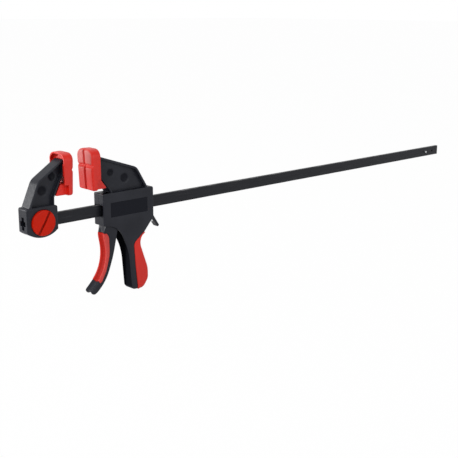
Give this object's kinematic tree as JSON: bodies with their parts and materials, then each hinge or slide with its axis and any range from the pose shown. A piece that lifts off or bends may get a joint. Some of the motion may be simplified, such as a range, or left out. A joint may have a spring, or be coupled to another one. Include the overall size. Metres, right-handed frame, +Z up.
{
  "type": "quick release bar clamp",
  "caption": "One-handed bar clamp: fixed jaw locked to a long flat bar, sliding jaw with pistol grip, squeeze trigger, clamping plates and tilting release lever.",
  "frame": {"origin": "axis of the lock knob on the centreline of the bar, at the middle of its thickness", "axes": "+X along the bar from the fixed jaw towards the free end, +Z up towards the pads, +Y across the jaws, away from the knob"},
  "size_m": [1.1135, 0.043, 0.253],
  "materials": {
    "bar_black": "satin black oxide",
    "charcoal": "fine matt texture",
    "soft_red": "soft matt",
    "knob_red": "satin",
    "steel": "ground",
    "spring_steel": "drawn wire",
    "screw_black": "black zinc"
  },
  "bodies": {
    "fixed_end": {"bar": "bar_black", "bar_stop_pin": "steel", "fixed_jaw": "charcoal", "fixed_pad": "soft_red"},
    "lock": {"lock_knob": "knob_red", "lock_pin": "steel", "lock_clip": "steel", "knob_washer": "steel"},
    "sliding_jaw": {"near_shell": "charcoal", "far_shell": "charcoal", "shell_screws": "screw_black", "sliding_pad": "soft_red", "grip_cover": "soft_red", "trigger_pin": "steel", "spring_seat": "steel"},
    "trigger": {"trigger": "charcoal", "trigger_inlay": "soft_red"},
    "drive": {"drive_plate_front": "steel", "drive_plate_rear": "steel", "drive_spring": "spring_steel"},
    "release": {"release_lever": "steel", "release_tab": "charcoal", "release_spring": "spring_steel"}
  },
  "joints": [
    {"name": "lock_turn", "type": "hinge", "parent": "fixed_end", "child": "lock", "pos_m": [0, 0, 0], "axis": [0, 1, 0], "range_deg": [0, 90]},
    {"name": "jaw_slide", "type": "slide", "parent": "fixed_end", "child": "sliding_jaw", "axis": [1, 0, 0], "range_m": [-0.0305, 0.814]},
    {"name": "trigger_hinge", "type": "hinge", "parent": "sliding_jaw", "child": "trigger", "pos_m": [0.1255, 0, 0.0186], "axis": [0, -1, 0], "range_deg": [0, 20], "stiffness_Nm_per_rad": 0.6, "springref_deg": -20.05},
    {"name": "drive_slide", "type": "slide", "parent": "sliding_jaw", "child": "drive", "axis": [1, 0, 0], "range_m": [0, 0.0099], "deforming": ["drive_spring"]},
    {"name": "release_hinge", "type": "hinge", "parent": "sliding_jaw", "child": "release", "pos_m": [0.2055, 0, -0.0195], "axis": [0, 1, 0], "range_deg": [0, 8], "stiffness_Nm_per_rad": 0.4, "springref_deg": -11.46, "deforming": ["release_spring"]}
  ],
  "couplings": [
    {"joint": "drive_slide", "follows": "trigger_hinge", "m_per_rad": 0.0281}
  ]
}
